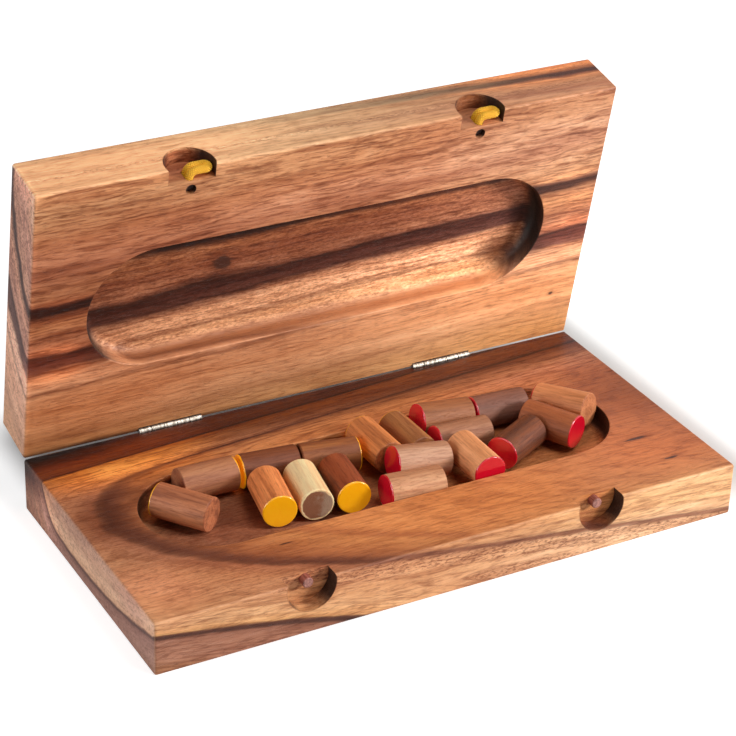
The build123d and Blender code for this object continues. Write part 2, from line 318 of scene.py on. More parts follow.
class Board(Finish):
    """A finish that knows the board that its half is sawn from."""

    def __init__(self, name, opening, side):
        super().__init__(name)
        inputs = {"Vector": self.where["Object"], "Location": (0, HINGE_TO_MIDDLE * MM, HINGE_HEIGHT * MM)}
        inputs.update({"Rotation": (-opening, 0, 0), "Scale": (MM, MM, MM * side)})
        self.own = self.step("ShaderNodeMapping", inputs, vector_type="TEXTURE")
        self.x, self.from_hinge, z = (self.part(self.own, axis) for axis in "XYZ")
        self.y = self.sum("ADD", self.from_hinge, HINGE_TO_MIDDLE)
        self.depth = self.sum("SUBTRACT", z, HINGE_GAP)
        self.out_front = (0, -math.cos(opening), math.sin(opening))

    def from_place(self, place, reach):
        """Distance from a place on the board, in an oval that has its edge at 1."""
        x, y, depth = place
        shift = self.vector("SUBTRACT", self.own, (x, y - HINGE_TO_MIDDLE, depth + HINGE_GAP))
        return self.vector("LENGTH", self.vector("MULTIPLY", shift, [1 / r for r in reach]), output="Value")


base_board = Board("base_wood", 0.0, -1)
lid_board = Board("lid_wood", LID_OPENING, 1)
print("lid opened", round(math.degrees(LID_OPENING), 1), "degrees")

# %% [markdown]
# ## Fibres, pores and end grain
# Three things are the same for any piece of this wood. Fibres are noise drawn out along the grain. Pores are short
# dark dashes, which show as dots where the wood is cut across. End grain is a little greyer. Because the noise is
# solid, all three change by themselves from face to face.

# %% Fibres and pores
def swayed(finish, own):
    """The board's millimetres with the fibres' own slow waves in them."""
    lift = finish.strayed(0.0, finish.grainy(own, 19, 6.5, 2.0, 0.5), 3.2)
    return finish.vector("ADD", own, finish.place(0.0, lift, lift))


def fibres(finish, grain, colour, contrast, pore_length=3.4):
    """Adds lengthwise streaks and pores to a colour. Returns the colour and a relief."""
    broad = finish.grainy(grain, 36, 2.6, 3.0, 0.55, 0.3)
    dashes = finish.grainy(grain, 9.0, 0.90, 2.5, 0.55, 0.15)
    hairs = finish.grainy(grain, pore_length, 0.36, 2.0, 0.55)
    dark = finish.between(dashes, 0.51, 0.66)
    pores = finish.between(hairs, 0.56, 0.68)
    for streak, share, tint in (
        (finish.between(broad, 0.50, 0.68), 0.95, (0.58, 0.43, 0.36)),
        (finish.between(broad, 0.48, 0.30), 0.80, (1.16, 1.28, 1.38)),
        (dark, 0.80, (0.42, 0.29, 0.23)),
        (finish.between(dashes, 0.48, 0.34), 0.80, (1.16, 1.30, 1.42)),
        (pores, 0.50, (0.38, 0.26, 0.22)),
    ):
        colour = finish.tinted(finish.product(streak, share, contrast), colour, tint)
    hollows = finish.sum("MAXIMUM", finish.product(dark, 0.6), pores)
    return colour, finish.sum("SUBTRACT", 1.0, hollows)


print("fibres and pores ready")

# %% Growth lines and end grain
def growth_lines(board, rings, colour, contrast):
    """Thin dark lines that follow the rings, broken along the grain."""
    sheet = board.place(board.sum("DIVIDE", board.x, 34.0), rings, board.sum("DIVIDE", board.from_hinge, 7.0))
    lines = board.cloud(sheet, 3.0, 0.6)
    dark, pale = board.between(lines, 0.50, 0.64), board.between(lines, 0.48, 0.34, 0, 0.4)
    colour = board.tinted(board.product(dark, contrast), colour, (0.48, 0.34, 0.28))
    return board.tinted(board.product(pale, contrast), colour, (1.25, 1.45, 1.60))


def end_grain(finish, facing, colour, burn_and_shade=0.0):
    """Greyer where the surface is cut across the grain. Inside a recess, the cutter's burn and painted shade darken
    it almost to black.
    """
    squareness = finish.sum("ABSOLUTE", facing)
    grey = finish.step("ShaderNodeHueSaturation", {"Saturation": 0.82, "Value": 1.06, "Color": colour})
    grey = finish.mix(0.08, grey, shade("C9A69C"))
    colour = finish.mix(finish.between(squareness, 0.45, 0.92), colour, grey)
    # Painted shade together with the cutter's burn: end-grain walls inside a recess go almost black.
    burn_and_shade_amount = finish.product(finish.between(squareness, 0.30, 0.85), burn_and_shade)
    return finish.tinted(burn_and_shade_amount, colour, (0.08, 0.06, 0.05))


print("growth lines and end grain ready")

# %% [markdown]
# ## The base's figure
# The saw passed close to the edge of a ring cone, so a dark ring comes out on the inner face as a loop round the
# tray's left end. Its front arm crosses the front edge and runs down the front face, and a second ring shows lower
# down. One formula does all of it: the ring number grows with depth and with the square of the distance from the
# cone's middle line, faster near the hinge, and falls along the grain because the trunk tapers.

# %% Rings of the base
TAPER = 0.129  # how fast the rings sink along the grain
LOOP_TIP = -112.0  # x where ring 0 comes out on the inner face; the dark ring is just under it
BASE_MIDDLE = 5.0  # the ring cone's middle line
FRONT_DISH, REAR_DISH = 0.0024, 0.003  # how fast the rings rise to the front edge and to the hinge
STEEP_FROM, STEEPNESS = 27.0, 1.3  # close to the hinge they rise steeply


def base_rings(board):
    off = board.sum("SUBTRACT", board.y, BASE_MIDDLE)
    front, rear = board.sum("MINIMUM", off, 0.0), board.sum("MAXIMUM", off, 0.0)
    dish = board.sum("ADD", board.product(front, front, FRONT_DISH), board.product(rear, rear, REAR_DISH))
    wall = board.product(board.sum("SMOOTH_MAX", board.sum("SUBTRACT", rear, STEEP_FROM), 0.0, 6.0), STEEPNESS)
    rings = board.sum("ADD", dish, board.sum("ADD", wall, board.depth))
    inward = board.sum("SUBTRACT", board.x, LOOP_TIP)
    rings = board.sum("SUBTRACT", rings, board.product(inward, TAPER))
    steeper = board.product(inward, board.depth, board.between(rings, 5, 12, 0, 0.0033))
    rings = board.sum("SUBTRACT", rings, steeper)
    rings = board.strayed(rings, board.grainy(board.own, 55, 16, 2.0, 0.5), 1.5)
    return board.strayed(rings, board.grainy(board.own, 14, 3.2, 3.0, 0.6), 0.7)


print("ring 0 of the base comes out at x", LOOP_TIP)

# %% A ladder of ring colours
def laddered(finish, value, rungs):
    """Colours at set heights of a value, from the lowest to the highest, blended between them."""
    low, high = rungs[0][0], rungs[-1][0]
    spread = finish.step("ShaderNodeMapRange", {"Value": value, "From Min": low, "From Max": high})
    node = finish.tree.nodes.new("ShaderNodeValToRGB")
    finish.tree.links.new(spread, node.inputs[0])
    stops = node.color_ramp.elements
    while len(stops) < len(rungs):
        stops.new(1.0)
    for stop, (height, _) in zip(stops, rungs):
        stop.position = (height - low) / (high - low)
    for stop, (_, code) in zip(stops, rungs):
        stop.color = shade(code)
    return node.outputs[0]


BASE_LADDER = [  # ring number in millimetres, colour
    (-30, "9C5C3C"), (-24, "C07448"), (-20, "D08352"), (-13, "D58850"), (-7, "DB9058"), (-5.9, "B87046"),
    (-5.2, "D08A55"), (-3.2, "BC764A"), (-2.3, "A4623E"), (-1.7, "784430"), (-1.1, "663828"), (-0.8, "7C4A34"),
    (-0.5, "B47252"), (1.2, "D08E64"), (4.0, "DC9A6E"), (7.0, "DA9868"), (11.0, "F0B480"), (14.4, "E6A468"),
    (15.1, "8A5036"), (15.5, "542A20"), (16.0, "5E3226"), (16.6, "925844"), (18.4, "A86C54"), (24, "B87C62"),
    (27, "A86C4A"), (36, "A86840"), (40, "96603E"), (44, "A4623C"), (60, "98603C"),
]
print(len(BASE_LADDER), "ring colours in the base")

# %% [markdown]
# ## The lid's figure
# The lid comes from a board cut nearer to the heart, so its rings cross the tray at a slant. Two dark rings stand
# out. One runs from the left end into the tray's front wall and out again at the right, the other lies along the
# tray's floor. Ring number is plain distance from the heart line, plus the taper.

# %% Rings of the lid
HEART_Y = -62.4
HEART_DEPTH = 65.9  # of the heart line, on the inner face's far side
LID_TAPER = 0.026
LID_START = -104.0


def lid_rings(board):
    off = board.sum("SUBTRACT", board.y, HEART_Y)
    rings = board.radius(off, board.sum("ADD", board.depth, HEART_DEPTH))
    rings = board.sum("MULTIPLY_ADD", board.sum("SUBTRACT", board.x, LID_START), LID_TAPER, rings)
    rings = board.strayed(rings, board.grainy(board.own, 60, 14, 2.0, 0.5), 4.0)
    return board.strayed(rings, board.grainy(board.own, 16, 3.0, 3.0, 0.6), 2.0)


LID_LADDER = [  # ring number in millimetres, colour
    (64, "D89C6A"), (67, "E2A674"), (71, "CC8458"), (74, "D8926A"), (76, "B87250"), (79, "C8845C"),
    (82, "BA7850"), (83.4, "C07C52"), (84.4, "6E3E2A"), (85.2, "34160C"), (86.6, "3A1A10"), (87.6, "8C5638"),
    (90, "CA8254"), (94, "AC6644"), (97.6, "B06E4C"), (98.8, "8A5038"), (99.6, "3C1A10"), (101.4, "4C231A"),
    (104.4, "5C3226"), (105.8, "B07250"), (108, "E09A6E"), (111, "E29C70"), (112.6, "A86A48"), (114, "D89264"),
    (120, "CE8454"), (126, "D6905F"), (131, "BC7A4C"), (138, "C8844E"),
]
print(len(LID_LADDER), "ring colours in the lid")

# %% [markdown]
# ## Pale skin, redrawn rings, broad tones and painted shade
# A formula gives the rings but not a whole trunk's history. The front edge was close to the bark, so its last
# millimetre is pale, and single rings show as dark lines over that paleness. Broad soft patches make an area
# darker or paler, as oil, handling and the cut's slant do. Some patches are painted shade instead: the lid's
# shadow along the base's hinge side, the dark seam at the hinge, shade among the men on the base tray's
# floor, and a shadow and a shade line in the lid's tray. Each patch is an oval with a place, a reach and
# a tint.

# %% Skin, redrawn rings and tones
def sapwood(board, colour, left, right):
    """The last millimetre at the front edge is paler, by an amount at the left and one at the right."""
    amount = board.between(board.x, -60, 100, left, right)
    ragged = board.grainy(board.own, 45, 5, 3.0, 0.6)
    from_front = board.strayed(board.sum("SUBTRACT", board.y, FRONT), ragged, 1.6)
    return board.mix(board.product(board.between(from_front, 1.3, 0.3), amount), colour, shade("FFCB96"))


def ring_line(board, rings, colour, middle, code):
    """One ring drawn in again over the pale skin of the front."""
    near_ring = board.between(board.off(rings, middle), 1.3, 0.4)
    on_front = board.between(board.y, FRONT + 1.5, FRONT + 0.5, 0, 0.8)
    return board.mix(board.product(near_ring, on_front), colour, shade(code))


def patch_of_tone_or_shade(board, colour, x, y, depth, reach_x, reach_y, reach_depth, tint):
    """A broad soft patch, darker or paler. Most are the wood's own tone; some are painted shade."""
    far = board.from_place((x, y, depth), (reach_x, reach_y, reach_depth))
    return board.tinted(board.between(far, 1.25, 0.35), colour, tint)


def figured_and_shaded(board, rings, ladder, skin, redrawn, tones):
    """The wood's figure: ring colours, then the skin, single rings and tones, some of them painted shade."""
    colour = sapwood(board, laddered(board, rings, ladder), *skin)
    for line in redrawn:
        colour = ring_line(board, rings, colour, *line)
    for tone in tones:
        colour = patch_of_tone_or_shade(board, colour, *tone)
    return colour


print("skin, ring line and tone helpers ready")

# %% The base's colour
# Painted shade in this table: the first row darkens the strip along the hinge as the lid's shadow, the row at x
# -118, y 58.5 is the dark seam's shade, and the three rows at depth 8.5 darken the tray's floor among the men.
base_tones_and_shade = [  # x, y and depth of the middle, reach along each of them, tint
    (0, 54, 0, 400, 21, 12, (0.20, 0.085, 0.030)), (-85, 44, 0, 40, 20, 12, (2.2, 1.9, 0.85)),
    (85, 44, 0, 50, 18, 12, (1.05, 1.15, 1.6)), (-105, 8, 0, 12, 16, 12, (0.62, 0.52, 0.46)),
    (-112, 42, 0, 20, 22, 12, (0.80, 0.64, 0.55)), (-20, -38, 0, 110, 22, 20, (1.15, 1.05, 0.95)),
    (100, -25, 0, 34, 28, 20, (1.2, 1.05, 0.9)), (-108, -42, 0, 18, 20, 12, (1.15, 1.1, 1.15)),
    (108, 12, 0, 22, 24, 20, (0.88, 0.68, 0.42)), (-118, 58.5, 0, 60, 10, 6, (0.06, 0.04, 0.04)),
    (-70, -8, 8.5, 36, 24, 5, (0.54, 0.42, 0.42)), (95, -57, 5, 70, 6, 9, (1.12, 1.22, 1.25)),
    (70, -57, 16, 60, 6, 6, (1.1, 1.2, 1.35)), (-118, -40, 4.7, 5, 16, 9, (0.72, 0.68, 0.8)),
    (-118, 40, 14, 5, 20, 12, (1.8, 1.7, 1.75)), (40, 8, 8.5, 60, 26, 4, (0.66, 0.55, 0.55)),
    (-20, 10, 8.5, 60, 16, 4, (0.70, 0.60, 0.60)),
]
base_ring = base_rings(base_board)
base_lines = [(-1.3, "8E5238"), (15.4, "4E261C")]  # ring number, colour
base_colour = figured_and_shaded(base_board, base_ring, BASE_LADDER, (0.05, 0.5), base_lines, base_tones_and_shade)
print("base:", len(base_tones_and_shade), "tones")

# %% The lid's colour
# Painted shade in this table: the row at y 58.2 is the dark seam at the hinge, the row at y 25.8 is a shade line
# along the tray's lower wall, and the rows at x 97 and x 82 are the shadow of the tray's right end wall.
lid_tones_and_shade = [  # x, y and depth of the middle, reach along each of them, tint
    (95, 18, 0, 85, 60, 60, (1.7, 1.95, 2.1)), (10, 50, 0, 90, 26, 40, (1.15, 1.35, 1.6)),
    (95, -38, 0, 55, 26, 40, (1.05, 1.2, 1.3)), (-90, -35, 0, 60, 34, 40, (0.80, 0.70, 0.66)),
    (0, -14, 8.5, 110, 15, 5, (0.74, 0.65, 0.62)), (10, 18, 8.5, 110, 9, 5, (1.25, 1.45, 1.55)),
    (-42, -18.6, 8.5, 52, 3.6, 4, (0.10, 0.06, 0.06)), (40, -18.2, 8.5, 80, 1.8, 4, (0.20, 0.13, 0.11)),
    (-95, -57, 10, 80, 8, 14, (1.45, 1.35, 1.3)), (-103, -7, 0, 26, 6, 6, (0.88, 0.66, 0.60)),
    (0, 25.8, 5.0, 150, 2.8, 4.2, (0.60, 0.50, 0.44)), (-118, 0, 10, 5, 120, 30, (1.6, 1.75, 1.95)),
    (-80, 58.2, 0, 90, 2.6, 3, (0.10, 0.06, 0.05)), (-106, 16, 0, 18, 9, 5, (2.1, 1.75, 1.45)),
    (95, -57, 17, 46, 8, 8, (1.9, 1.65, 1.4)), (108, 6.5, 0, 18, 7.5, 5, (1.9, 1.7, 1.55)),
    (104, -16, 0, 18, 7, 5, (1.5, 1.45, 1.4)), (97, -4, 6, 13, 25, 6, (0.10, 0.07, 0.06)),
    (82, 15, 7.5, 13, 9, 6, (0.25, 0.18, 0.15)),
]
lid_ring = lid_rings(lid_board)
lid_colour = figured_and_shaded(lid_board, lid_ring, LID_LADDER, (0.9, 0.0), [], lid_tones_and_shade)
print("lid:", len(lid_tones_and_shade), "tones")

# %% [markdown]
# ## What the cutter and the years leave, with painted shade in the notches
# A pin knot is a dark spot with a halo, drawn out along the grain. Open pores stand in rows beside a ring. On the
# tray's floor the cutter crossed curly grain and left it mottled. A blunt one browned the notches' walls, and
# painted shade darkens them more, most at their right. The playing field on the outer faces is cut 0.8 mm deep
# and scorched by the hot cutter, so it reads dark. Long edges are rubbed paler by hands.

# %% Knots, open pores and the torn floor
def knot(board, colour, x, y, depth, length, width):
    """A dark speck with a soft halo, at a place on the board."""
    far = board.from_place((x, y, depth), (length, width, width))
    far = board.strayed(far, board.grainy(board.own, 2.5, 0.8, 2.0, 0.6), 0.9)
    colour = board.tinted(board.between(far, 2.4, 0.9, 0, 0.6), colour, (0.62, 0.50, 0.46))
    return board.mix(board.between(far, 1.1, 0.6, 0, 0.9), colour, shade("3E221A"))


def speckled(board, rings, colour, low, high, share):
    """Rows of open pores, short and dark, in the early wood just outside a ring."""
    flecks = board.between(board.grainy(board.own, 2.1, 0.65, 2.0, 0.6), 0.50, 0.60)
    band = board.product(board.between(rings, low, low + 0.3), board.between(rings, high, high - 1.0))
    return board.tinted(board.product(band, flecks, share), colour, (0.44, 0.31, 0.26))


def torn_floor(board, colour, share):
    """The tray's floor, where the cutter crossed curly grain and left it mottled."""
    on_floor = board.product(board.between(board.depth, 6.0, 8.2), board.between(board.depth, 9.0, 8.7))
    flecks = board.grainy(board.own, 1.7, 0.7, 3.0, 0.65)
    for low, high, tint in ((0.50, 0.62, (0.42, 0.28, 0.22)), (0.48, 0.36, (1.35, 1.55, 1.75))):
        fleck = board.between(flecks, low, high, 0, share)
        colour = board.tinted(board.product(on_floor, fleck), colour, tint)
    return colour


print("knots, open pores and torn floor ready")

# %% Notch walls
NOTCH_PLACE = 57.5  # from the middle, either way along x
NOTCH_RADIUS = 9.3
NOTCH_DROP = 2.6  # of the bore's middle, below the inner face
NOTCH_BACK = FRONT + 6.0


def bored_walls(board, colour):
    """Browned round the wall of each notch by a blunt cutter, with painted shade, more so at its right, where shade
    falls.
    """
    aside = board.sum("SUBTRACT", board.sum("ABSOLUTE", board.x), NOTCH_PLACE)
    from_middle = board.radius(aside, board.sum("SUBTRACT", board.depth, NOTCH_DROP))
    on_wall = board.between(board.off(from_middle, NOTCH_RADIUS), 0.35, 0.1)
    under_rim = board.between(board.depth, 0.3, 0.8)
    rightward = board.sum("SUBTRACT", board.x, board.product(board.sum("SIGN", board.x), NOTCH_PLACE))
    # Painted shade: darker towards the right of the wall, the side that the key lamp leaves in shadow.
    shade_to_right = board.between(rightward, -6, 6, 0.5, 0.9)
    near_front = board.between(board.y, NOTCH_BACK + 0.8, NOTCH_BACK + 0.1)
    soot = board.between(board.grainy(board.own, 2.4, 1.1, 3.0, 0.6), 0.3, 0.65, 0.45, 0.9)
    amount = board.product(on_wall, under_rim, shade_to_right, near_front, soot)
    return board.tinted(amount, colour, (0.40, 0.27, 0.20))


print("notches", 2 * NOTCH_PLACE, "mm apart")

# %% Rubbed edges and the burnt field
FIELD_END = 100.0  # half the playing field's length


def rubbed_edges(board, colour):
    """Paler along the outer edges of the block."""
    near_end = board.between(board.sum("ABSOLUTE", board.x), HALF_END - 1.0, HALF_END - 0.1)
    near_front = board.between(board.sum("ABSOLUTE", board.y), 56.5, 57.35)
    near_face = board.between(board.off(board.depth, HALF_THICKNESS / 2), 9.35, 10.25)
    faces = board.sum("ADD", board.sum("ADD", near_end, near_front), near_face)
    edge = board.between(faces, 1.2, 1.75)  # where two of the three meet
    patchy = board.between(board.grainy(board.own, 22, 6, 3.0, 0.6), 0.40, 0.65, 0.0, 0.30)
    return board.mix(board.product(edge, patchy), colour, shade("C48E68"))


def burnt_field(board, colour):
    """Dark in the lines and sockets that are cut into the outer face."""
    in_x = board.between(board.sum("ABSOLUTE", board.x), FIELD_END + 1, FIELD_END)
    in_y = board.between(board.sum("ABSOLUTE", board.y), 57.0, 56.6)
    sunk = board.between(board.depth, HALF_THICKNESS - 0.12, HALF_THICKNESS - 0.35)
    not_below = board.between(board.depth, HALF_THICKNESS - 2.9, HALF_THICKNESS - 2.7)
    soot = board.between(board.grainy(board.own, 3, 1.2, 3.0, 0.6), 0.2, 0.6, 0.75, 1.0)
    return board.mix(board.product(in_x, in_y, sunk, not_below, soot), colour, shade("2C1711"))


print("edges and field ready")

# %% [markdown]
# ## Oiled, handled wood
# The last touches are the same for both halves. Curl in the grain darkens it in soft patches across the fibres, and
# the oil leaves a satin sheen that is duller in the pores. Fibres stand out more on some faces than on others, so
# their contrast depends on whether a face looks to the front, and on how near it is to the hinge.

# %% Finish of a half
HINGE_SIDE = (2.575, 42.575)  # y from which the fibres' contrast changes, and where it has changed


def worked(board, rings, colour, contrasts, torn, specks, knots):
    """All that lies over the figure. Contrasts: on other faces, on the front, and a factor near the hinge."""
    fronting = board.vector("DOT_PRODUCT", board.where["Normal"], board.out_front, output="Value")
    contrast = board.between(fronting, 0.5, 0.9, contrasts[0], contrasts[1])
    contrast = board.product(contrast, board.between(board.y, *HINGE_SIDE, 1.0, contrasts[2]))
    curl = board.grainy(board.own, 5, 11, 2.0, 0.5, 0.6)
    colour = board.tinted(board.between(curl, 0.5, 0.75, 0, 0.35), colour, (0.78, 0.70, 0.66))
    colour = growth_lines(board, rings, colour, board.product(contrast, 0.8))
    colour, relief = fibres(board, swayed(board, board.own), colour, contrast)
    colour = torn_floor(board, colour, torn)
    low, high, most = specks
    share = board.product(board.between(fronting, 0.5, 0.9, 0.45, 1.0), most)
    colour = speckled(board, rings, colour, low, high, share)
    for place in knots:
        colour = knot(board, colour, *place)
    # End-grain walls of trays and notches darken almost to black: the cutter's burn together with painted shade.
    in_recess = board.between(board.sum("ABSOLUTE", board.x), HALF_END - 3, HALF_END - 5)
    colour = end_grain(board, board.part(board.where["Normal"], "X"), colour, in_recess)
    colour = burnt_field(board, rubbed_edges(board, bored_walls(board, colour)))
    sheen = board.between(relief, 0.1, 0.7, 0.62, 0.42)
    return board.surface(colour, sheen, board.bumps(relief, 0.00012, 0.7), Specular_IOR_Level=0.35)


# Knots have their x, y, depth, length and width. Open pores have the rings that they lie between, and a share.
base_knots = [(93, -26, 0, 5.5, 0.9), (97, -43, 0, 3.2, 0.7), (-55, -33, 0, 2.8, 0.4)]
lid_knots = [(-38, -6.2, 8.5, 4.6, 3.4), (104, 36, 0, 1.2, 0.8)]
base_wood = worked(base_board, base_ring, base_colour, (0.45, 0.62, 1.7), 0.25, (-0.6, 5.5, 0.75), base_knots)
lid_wood = worked(lid_board, lid_ring, lid_colour, (0.85, 0.42, 0.5), 0.50, (87.4, 91.0, 0.4), lid_knots)
dress(["base_half"], base_wood)
dress(["lid_half"], lid_wood)
print("halves dressed; nodes in the base's tree:", len(base_wood.node_tree.nodes))

# %% [markdown]
# ## The men
# Each man is a length of dowel, cut from whatever offcut was at hand, so all eighteen differ in tone. One end was
# dipped in thick gloss paint, which covers the rim and stops in a slightly uneven line. The grain follows the
# dowel, so each finish works in the man's own millimetres, with the painted end at +11. The direction of a man is
# read from its mesh: the mean of the points on its painted side, less the mean of the others.

# %% Where each man points
HALF_MAN = 11.0  # half a man's length


def long_axis(piece, painted_end_turn):
    """Centre and direction of a man, towards its painted end."""
    low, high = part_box(piece.name)
    centre = (Vector(low) + Vector(high)) / 2
    angle = math.radians(painted_end_turn)
    aim = Vector((math.cos(angle), math.sin(angle), 0))
    ends = [Vector(), Vector()]
    counts = [0, 0]
    for vertex in piece.data.vertices:
        side = int((vertex.co - centre).dot(aim) > 0)
        ends[side] += vertex.co
        counts[side] += 1
    return centre, (ends[1] / counts[1] - ends[0] / counts[0]).normalized()


print("men are", 2 * HALF_MAN, "mm long")

# %% The bare end of a man
def bare_end(finish, x, colour):
    """Darker on the end that was never painted."""
    cut = finish.between(x, 0.45 - HALF_MAN, 0.2 - HALF_MAN)
    return finish.tinted(finish.product(cut, 0.75), colour, (0.62, 0.52, 0.50))


def dark_heart(finish, own, grain, colour, brown, grey="A88A72"):
    """The bare end of the pale man: a brown and grey heart inside a pale rim."""
    x, across, above = (finish.part(own, axis) for axis in "XYZ")
    ragged = finish.grainy(grain, 5, 2.6, 2.0, 0.5)
    from_axis = finish.strayed(finish.radius(across, above), ragged, 1.4)
    to_grey = finish.between(finish.strayed(across, ragged, 9.0), 0.5, -3.5)
    heart = finish.mix(to_grey, shade(brown), shade(grey))
    heart = finish.mix(finish.between(from_axis, 5.3, 5.8), heart, colour)
    return finish.mix(finish.between(x, 0.25 - HALF_MAN, 0.05 - HALF_MAN), colour, heart)


print("two kinds of bare end ready")

# %% Dipped in paint
YELLOW = "FFB412"
RED = "C60C26"
PAINT_EDGE = 0.55  # how far the paint reaches over the rim
PAINT_GLOW = 0.13  # painted light, beyond what the bright pigment gives: a faint glow that lifts the painted ends


def dipped(finish, x, grain, colour, relief, paint):
    """Paints one end and ends the material."""
    edge = finish.strayed(x, finish.grainy(grain, 4.0, 4.0, 2.0, 0.5), 0.9)
    painted = finish.between(edge, HALF_MAN - PAINT_EDGE, HALF_MAN - PAINT_EDGE + 0.12)
    brush = finish.grainy(grain, 3.0, 1.6, 3.0, 0.6)
    thin = finish.between(brush, 0.35, 0.75, 0, 0.3)
    coat = finish.tinted(thin, shade(paint), (0.90, 0.76, 0.60))
    bare_relief = finish.product(relief, finish.sum("SUBTRACT", 1.0, painted))
    brushed = finish.product(painted, finish.sum("MULTIPLY_ADD", brush, 0.35, 0.8))
    bumpy = finish.bumps(finish.sum("ADD", bare_relief, brushed), 0.00010, 0.8)
    # Painted light: the paint is given a faint glow, though it is no lamp.
    return finish.surface(
        finish.mix(painted, colour, coat), finish.sum("MULTIPLY_ADD", painted, -0.36, 0.56), bumpy,
        glow=finish.mix(painted, (0, 0, 0, 1), coat), coat=painted,
        Specular_IOR_Level=0.4, Emission_Strength=PAINT_GLOW, Coat_Roughness=0.06,
    )


print("paints:", YELLOW, "and", RED)

# %% Finish of a man
def man_finish(name, painted_end_turn, paint, wood, streak, contrast, heart=None):
    centre, axis = long_axis(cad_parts[name], painted_end_turn)
    finish = Finish(name + "_finish")
    inputs = {"Vector": finish.where["Object"], "Location": centre, "Scale": (MM, MM, MM)}
    inputs["Rotation"] = axis.to_track_quat("X", "Z").to_euler()
    own = finish.step("ShaderNodeMapping", inputs, vector_type="TEXTURE")
    seed = 40.0 + 17.0 * (sum(map(ord, name)) % 97)  # another place in the noise for each name
    grain = finish.vector("ADD", own, (seed, seed, 0))
    rings = finish.grainy(grain, 70, 4.5, 3.0, 0.6, 0.4)
    colour = finish.mix(finish.between(rings, 0.40, 0.66), shade(wood), shade(streak))
    colour, relief = fibres(finish, grain, colour, 0.6 * contrast, 2.2)
    x = finish.part(own, "X")
    colour = dark_heart(finish, own, grain, colour, heart) if heart else bare_end(finish, x, colour)
    dress([name], dipped(finish, x, grain, colour, relief, paint))
    return axis


print("man finish ready")

# %% The nine yellow-ended men
yellow_men = [  # compass turn of the painted end, wood, streaks, contrast of the fibres, heart of the bare end
    (127, "DE8D5E", "A66343", 0.8, None), (0, "B87952", "9F6345", 0.6, None), (174, "844727", "6C361D", 0.6, None),
    (-10, "A46234", "8A4D29", 0.6, None), (-101, "F99A59", "C5713E", 0.9, None),
    (80, "FFE9B2", "FFD096", 0.3, "8E5C40"), (-98, "9E4D2A", "75341A", 0.9, None),
    (92, "E38E50", "BC703E", 0.7, None), (92, "B47743", "955B34", 0.6, None),
]
for number, (painted_turn, wood, streak, contrast, heart) in enumerate(yellow_men, 1):
    pointing = man_finish(f"yellow_man_{number}", painted_turn, YELLOW, wood, streak, contrast, heart)
print("yellow men dressed; the last points to", [round(v, 2) for v in pointing])

# %% The nine red-ended men
red_men = [  # the same, with no heart
    (179, "A0633D", "8B5330", 0.6), (177, "8A5946", "7A4B3A", 0.6), (179, "B17A5A", "986243", 0.6),
    (177, "CC9A7B", "B47D5B", 0.7), (177, "D49B70", "C3845D", 0.8), (-90, "FEB47D", "E49964", 0.7),
    (-152, "7A3F20", "582C15", 1.0), (-62, "AA5F36", "8F4D2B", 0.6), (119, "E89A65", "CB8150", 0.6),
]
for number, (painted_turn, wood, streak, contrast) in enumerate(red_men, 1):
    pointing = man_finish(f"red_man_{number}", painted_turn, RED, wood, streak, contrast)
print("red men dressed; the last points to", [round(v, 2) for v in pointing])

# %% [markdown]
# ## Catch pegs and the cords' anchors
# Both are short dowels. A peg stands in each notch of the base and shows its end grain, a pinkish red wood. An
# anchor is driven into the lid and jams a cord in its hole. It sits deep, and its wood is coloured nearly black as
# painted shade.

# %% Dowels
def dowel_finish(name, wood, ring):
    finish = Finish(name)
    own = finish.millimetres()
    turned = finish.place(*(finish.part(own, axis) for axis in "YXZ"))
    growth = finish.grainy(turned, 20, 1.1, 3.0, 0.6, 0.5)
    colour = finish.mix(finish.between(growth, 0.38, 0.64), shade(wood), shade(ring))
    colour, relief = fibres(finish, turned, colour, 0.6, 1.6)
    colour = end_grain(finish, finish.part(finish.where["Normal"], "Y"), colour)
    return finish.surface(colour, finish.between(relief, 0.1, 0.7, 0.7, 0.5), finish.bumps(relief, 0.00008, 0.7))


SIDES = ("left", "right")  # the order in which the notches lie along x
dress([f"catch_peg_{side}" for side in SIDES], dowel_finish("peg_wood", "B46450", "8C4838"))
# Painted shade: the anchor's colours are nearly black because it sits deep in its hole.
dress([f"cord_anchor_{side}" for side in SIDES], dowel_finish("anchor_wood_painted_shade", "3C1A12", "2A100C"))
print("pegs and anchors dressed")

# %% [markdown]
# ## Plated hinges and brass screws
# The butt hinges are pressed from brass and plated bright, so their knuckles catch the light as a white line. Short
# dull marks cross them where the plating is worn, and tarnish darkens it in soft patches. The marks' fine relief
# also breaks up the highlight. Screws are plain turned brass.

# %% Metal finishes
def metal_finish(name, bright, dull, marks, roughness):
    finish = Finish(name)
    own = finish.millimetres()
    lines = finish.grainy(own, marks, 2.5, 3.0, 0.6)
    worn = finish.grainy(own, 0.9, 3.0, 2.0, 0.5)
    tarnish = finish.grainy(own, 4.0, 3.0, 3.0, 0.6)
    colour = finish.mix(finish.between(tarnish, 0.45, 0.75, 0, 0.7), shade(bright), shade(dull))
    colour = finish.tinted(finish.between(worn, 0.42, 0.60, 0, 0.75), colour, (0.34, 0.30, 0.26))
    rough = finish.between(finish.sum("ADD", lines, tarnish), 0.7, 1.4, roughness, roughness + 0.2)
    return finish.surface(colour, rough, finish.bumps(lines, 0.00003, 0.6), Metallic=1.0)


